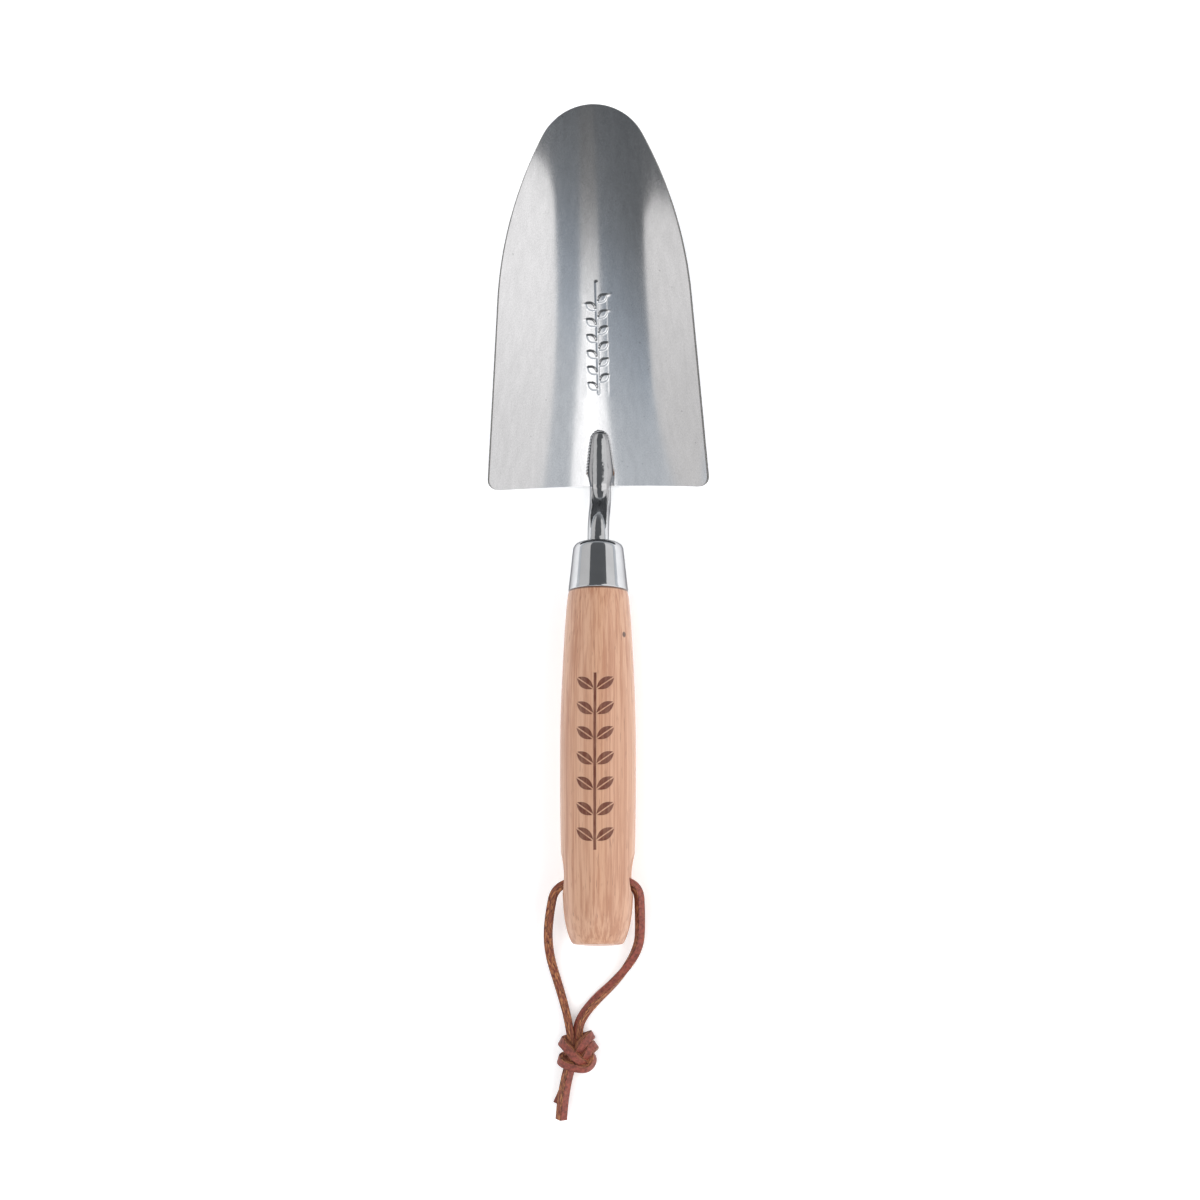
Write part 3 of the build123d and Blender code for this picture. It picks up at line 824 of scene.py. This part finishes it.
class TROWEL_OT_blade(bpy.types.Operator):
    """Build the pressed steel blade"""

    bl_idname = "trowel.blade"
    bl_label = "Blade"

    def execute(self, context):
        size = sizes()
        outline = blade_outline()
        run = np.r_[0, np.cumsum(np.linalg.norm(np.diff(outline, axis=0), axis=1))]
        # ribs close together where the leaves are pressed, wider elsewhere
        stations = [0.0]
        while stations[-1] < run[-1] - 1e-6:
            s = np.interp(stations[-1], run, outline[:, 1])
            step = 0.0003 if SPRAY_START - 0.003 < s < SPRAY_END + 0.002 else 0.0010 if s < 0.006 else 0.0016
            stations.append(min(stations[-1] + step, run[-1]))
        rim = np.stack([np.interp(stations, run, outline[:, 0]), np.interp(stations, run, outline[:, 1])], 1)
        # the sheet is bent after it is cut, so its upper edge lies a little inside the lower one
        rim[:, 0] *= size.channel_radius / (size.channel_radius + size.sheet)
        closer = (SPINE_TOP - FAN_FROM) / (size.blade_length - FAN_FROM)
        spine = np.where(rim[:, 1] < FAN_FROM, rim[:, 1], FAN_FROM + (rim[:, 1] - FAN_FROM) * closer)
        shares = np.r_[np.linspace(0, 0.118, 17), np.linspace(0.118, 1, 20)[1:]]
        heel, forward, up = blade_axes()
        points, faces = [], []
        for hand in (1, -1):
            for i, (edge, foot) in enumerate(zip(rim, spine)):
                for share in shares:
                    x, s = edge[0] * share, foot + (edge[1] - foot) * share
                    lift = size.sheet + size.channel_radius - math.sqrt(size.channel_radius**2 - x * x)
                    lift += float(pressed_relief(hand * x, s))
                    points.append(Vector((hand * x, 0, 0)) + heel + forward * s + up * lift)
        ribs, cols = len(rim), len(shares)

        def right(i, j):
            return i * cols + j

        def left(i, j):
            # the two halves share the spine and the tip
            return right(i, j) if j == 0 or i == 0 else (ribs + i) * cols + j

        for i in range(ribs - 1):
            for j in range(cols - 1):
                faces.append((right(i, j), right(i, j + 1), right(i + 1, j + 1), right(i + 1, j))[::-1])
                faces.append((left(i, j), left(i, j + 1), left(i + 1, j + 1), left(i + 1, j)))
        blade = mesh_object("blade_sheet", points, faces, satin_steel())
        drop_loose(blade)
        wall = blade.modifiers.new("Sheet", "SOLIDIFY")
        wall.thickness, wall.offset, wall.use_even_offset = size.sheet, -1.0, True
        blade.data.materials.append(sheared_steel())
        wall.material_offset_rim = 1
        broken = bevel(blade, "Rim", size.rim_round, 50)
        broken.harden_normals = True
        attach(blade, "trowel")
        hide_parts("blade")
        return {"FINISHED"}


def drop_loose(obj):
    """Removes points that no face uses."""
    mesh = obj.data
    used = np.zeros(len(mesh.vertices), bool)
    corners = np.zeros(len(mesh.loops), int)
    mesh.loops.foreach_get("vertex_index", corners)
    used[corners] = True
    if used.all():
        return
    work = bmesh.new()
    work.from_mesh(mesh)
    bmesh.ops.delete(work, geom=[v for v in work.verts if not v.link_faces], context="VERTS")
    work.to_mesh(mesh)
    work.free()
    mesh.polygons.foreach_set("use_smooth", [True] * len(mesh.polygons))


# ---------------------------------------------------------------- tang and weld
LOWER_BEND, UPPER_BEND, CRANK = 0.01113, 0.016, 50.0
ROD_LIFT, FOOT_START = 0.004, 0.001
# along the blade: distance from the rear edge, half width, half height, height of the middle
FOOT = [(1.0, 4.15, 4.15, 4.0), (2.2, 4.45, 4.40, 3.4), (3.6, 4.8, 4.85, 2.4), (5.5, 5.0, 5.1, 1.5),
        (8.0, 4.8, 4.75, 0.95), (12.0, 4.3, 4.0, 0.4), (15.5, 3.85, 3.3, 0.2), (18.3, 3.4, 2.7, 0.1),
        (20.0, 2.95, 2.25, 0.05), (21.0, 2.1, 1.6, 0.0), (21.4, 1.0, 0.8, 0.0)]
AROUND = 16
WELD_FRONT, WELD_GAP = (21.6, 2.1), 0.15
LEFT_RIPPLE, RIGHT_RIPPLE = 0.45, 0.08


class TROWEL_OT_tang(bpy.types.Operator):
    """Build the cranked tang and the weld that holds its foot"""

    bl_idname = "trowel.tang"
    bl_label = "Tang and weld"

    def execute(self, context):
        size = sizes()
        heel, forward, up = blade_axes()
        swell = 1 / (2 / 3 + math.cos(2 * math.pi / AROUND) / 3)  # the smoothed ring lies inside its cage
        channel = size.channel_radius
        rings = []

        def section(centre, across, above, half_width, half_height):
            angles = [2 * math.pi * k / AROUND for k in range(AROUND)]
            return [centre + across * (half_width * swell * math.cos(a))
                    + above * (half_height * swell * math.sin(a)) for a in angles]

        side = Vector((1, 0, 0))
        for s, half_width, half_height, middle in reversed(FOOT):
            centre = heel + forward * (s * MM) + up * (size.sheet + middle * MM)
            ring = section(centre, side, up, half_width * MM, half_height * MM)
            for k, p in enumerate(ring):
                base = size.sheet + channel - math.sqrt(channel**2 - p.x**2) - 0.0004
                lift = (p - heel).dot(up)
                if lift < base:
                    ring[k] = p + up * (base - lift)
            rings.append(ring)
        # lower bend, crank, upper bend and shank
        start = heel + forward * FOOT_START + up * (size.sheet + ROD_LIFT)
        heading = math.degrees(size.blade_rise)
        radius = size.rod_radius
        away = -forward

        def bend(origin, direction, curve_radius, angle, steps):
            out = []
            normal = Matrix.Rotation(math.radians(-90 if angle < 0 else 90), 3, "X") @ direction
            centre = origin + normal * curve_radius
            for k in range(1, steps + 1):
                turn = Matrix.Rotation(math.radians(angle * k / steps), 3, "X")
                out.append((centre + turn @ (origin - centre), turn @ direction))
            return out

        path = bend(start, away, LOWER_BEND, -(heading + CRANK), 9)
        path += bend(path[-1][0], path[-1][1], UPPER_BEND, CRANK, 7)
        shank_end = Vector((0, TANG_LOW.y, AXIS_Z))
        for share in (0.12, 0.45, 0.985):
            path.append((path[15][0].lerp(shank_end, share), Vector((0, -1, 0))))
        for centre, direction in path:
            above = side.cross(-direction).normalized()
            rings.append(section(centre, side, above, radius, radius))
        rings.append(section(shank_end, side, Vector((0, 0, 1)), radius * 0.75, radius * 0.75))
        points = [p for ring in rings for p in ring]
        faces = [f[::-1] for f in ring_faces(len(rings), AROUND)]
        faces.append(tuple(range(AROUND)))
        faces.append(tuple(range(len(points) - AROUND, len(points)))[::-1])
        tang = mesh_object("tang_rod", points, faces, polished_steel("tang_steel", 0.94, 0.09, 0.00009))
        subdivide(tang, 3)
        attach(tang, "trowel")
        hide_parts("tang")

        # weld bead round the foot
        edge = [(s, w) for s, w, _, _ in FOOT if 3 < s < 20.5]
        outline = [(-1, *row) for row in edge] + [(-0.55, *WELD_FRONT), (0.55, *WELD_FRONT)]
        outline += [(1, *row) for row in reversed(edge)]
        path = np.array([(hand * (w + WELD_GAP), s) for hand, s, w in outline])
        run = np.r_[0, np.cumsum(np.linalg.norm(np.diff(path, axis=0), axis=1))]
        count = int(run[-1] / (size.ripple_pitch / MM / 6))
        at = np.linspace(0, run[-1], count)
        xs, ss = np.interp(at, run, path[:, 0]), np.interp(at, run, path[:, 1])
        for _ in range(12):
            xs[1:-1] = (xs[:-2] + 2 * xs[1:-1] + xs[2:]) / 4
            ss[1:-1] = (ss[:-2] + 2 * ss[1:-1] + ss[2:]) / 4
        line = np.stack([xs, ss], 1)
        tangent = np.gradient(line, axis=0)
        tangent /= np.linalg.norm(tangent, axis=1)[:, None]
        outer = np.stack([-tangent[:, 1], tangent[:, 0]], 1)
        points, around = [], 8
        bead = size.weld_radius
        for i, ((x, s), (ox, os_)) in enumerate(zip(line, outer)):
            left = x < 0
            phase = (at[i] * MM / size.ripple_pitch) % 1.0
            ripple = (LEFT_RIPPLE if left else RIGHT_RIPPLE) * (1 - phase) ** 1.3
            taper = min(1.0, 0.35 + i / 9, 0.35 + (count - 1 - i) / 9)
            r = bead * (0.80 + ripple) * taper
            base = size.sheet + channel - math.sqrt(channel**2 - (x * MM) ** 2)
            centre = Vector((x * MM, 0, 0)) + heel + forward * (s * MM) + up * (base - 0.0002)
            out_dir = (Vector((ox, 0, 0)) + forward * os_).normalized()
            for k in range(around):
                a = 2 * math.pi * k / around
                points.append(centre + out_dir * (r * math.cos(a) * (1.0 if left else 0.75))
                              + up * (r * 0.92 * math.sin(a)))
        faces = ring_faces(count, around)
        faces.append(tuple(range(around))[::-1])
        faces.append(tuple(range(len(points) - around, len(points))))
        weld = mesh_object("weld_run", points, faces, weld_metal())
        fix_normals(weld)
        subdivide(weld, 1)
        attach(weld, "trowel")
        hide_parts("weld_bead")
        return {"FINISHED"}


def fix_normals(obj):
    """Points every face of a closed mesh outwards."""
    work = bmesh.new()
    work.from_mesh(obj.data)
    bmesh.ops.recalc_face_normals(work, faces=work.faces[:])
    work.to_mesh(obj.data)
    work.free()


# ---------------------------------------------------------------- ferrule and handle
def turned(name, profile, steps, material):
    """Turns a closed profile of (radius, height) round the Z axis, then lays it along the handle's axis."""
    obj = mesh_object(name, [(r, 0, h) for r, h in profile], [], material)
    mesh = obj.data
    mesh.edges.add(len(profile))
    for k, edge in enumerate(mesh.edges):
        edge.vertices = (k, (k + 1) % len(profile))
    mesh.update()
    screw = obj.modifiers.new("Turn", "SCREW")
    screw.steps = screw.render_steps = steps
    screw.use_merge_vertices, screw.merge_threshold = True, 0.000002
    screw.use_smooth_shade = True
    bpy.context.view_layer.update()
    apply_stack(obj)
    obj.data.transform(Matrix.Rotation(math.radians(-90), 4, "X"))
    obj.data.transform(Matrix.Translation((0, 0, AXIS_Z)))
    fix_normals(obj)
    if not obj.data.materials:
        obj.data.materials.append(material)
    return obj


class TROWEL_OT_ferrule(bpy.types.Operator):
    """Build the polished steel ferrule"""

    bl_idname = "trowel.ferrule"
    bl_label = "Ferrule"

    def execute(self, context):
        rim, neck, shoulder, wall = 11.5, 9.8, 3.2, 0.9
        front, rear = FERRULE_Y / MM, RIM_Y / MM
        rod = sizes().rod_radius / MM
        profile = [(rim - 0.9, rear), (rim - 0.55, rear), (rim - 0.2, rear + 0.03),
                   (rim - 0.03, rear + 0.2), (rim - 0.02, rear + 0.6)]
        for share in np.linspace(0.12, 1, 8):
            profile.append((rim + (neck - rim) * share, rear + (front - shoulder - rear) * share))
        # rounded shoulder
        for angle in (15, 30, 45, 60, 75, 90):
            a = math.radians(angle)
            profile.append((neck - shoulder * 1.15 * (1 - math.cos(a)),
                            front - shoulder + shoulder * math.sin(a)))
        profile += [(rod + 0.5, front - 0.02), (rod + 0.12, front - 0.25), (rod + 0.05, front - 0.6),
                    (rod + 0.05, front - wall), (neck - shoulder, front - wall),
                    (neck - wall, front - shoulder), (rim - wall - 0.02, rear + 0.3)]
        ferrule = turned("ferrule_cap", [(r * MM, h * MM) for r, h in profile], 96,
                         polished_steel("ferrule_steel", 1.0, 0.07, 0.00001))
        bevel(ferrule, "Edges", 0.00008, 35)
        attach(ferrule, "trowel")
        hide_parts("ferrule")
        return {"FINISHED"}


class TROWEL_OT_handle(bpy.types.Operator):
    """Finish the turned wooden handle and the resin inside it"""

    bl_idname = "trowel.handle"
    bl_label = "Handle"

    def execute(self, context):
        for node, finish in (("handle", turned_wood()), ("tang_resin", resin())):
            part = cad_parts[node]
            part.data.materials.clear()
            part.data.materials.append(finish)
        return {"FINISHED"}


# ---------------------------------------------------------------- panel and registration
OPERATORS = (TROWEL_OT_stage, TROWEL_OT_lace, TROWEL_OT_blade, TROWEL_OT_tang, TROWEL_OT_ferrule,
             TROWEL_OT_handle)


class TROWEL_PT_build(bpy.types.Panel):
    """The trowel's pieces, sizes and colours"""

    bl_label = "Hand trowel"
    bl_idname = "TROWEL_PT_build"
    bl_space_type = "VIEW_3D"
    bl_region_type = "UI"
    bl_category = "Trowel"

    def draw(self, context):
        for operator in OPERATORS:
            self.layout.operator(operator.bl_idname)
        for group in (context.scene.trowel_sizes, context.scene.trowel_colours):
            column = self.layout.column()
            for name in group.__annotations__:
                column.prop(group, name)


CLASSES = (TrowelSizes, TrowelColours, *OPERATORS, TROWEL_PT_build)


def register():
    for each in CLASSES:
        bpy.utils.register_class(each)
    bpy.types.Scene.trowel_sizes = bpy.props.PointerProperty(type=TrowelSizes)
    bpy.types.Scene.trowel_colours = bpy.props.PointerProperty(type=TrowelColours)


def unregister():
    del bpy.types.Scene.trowel_sizes
    del bpy.types.Scene.trowel_colours
    for each in reversed(CLASSES):
        bpy.utils.unregister_class(each)


def main():
    register()
    bpy.ops.trowel.stage()
    bpy.ops.trowel.lace()
    bpy.ops.trowel.blade()
    bpy.ops.trowel.tang()
    bpy.ops.trowel.ferrule()
    bpy.ops.trowel.handle()


if __name__ == "__main__":
    main()
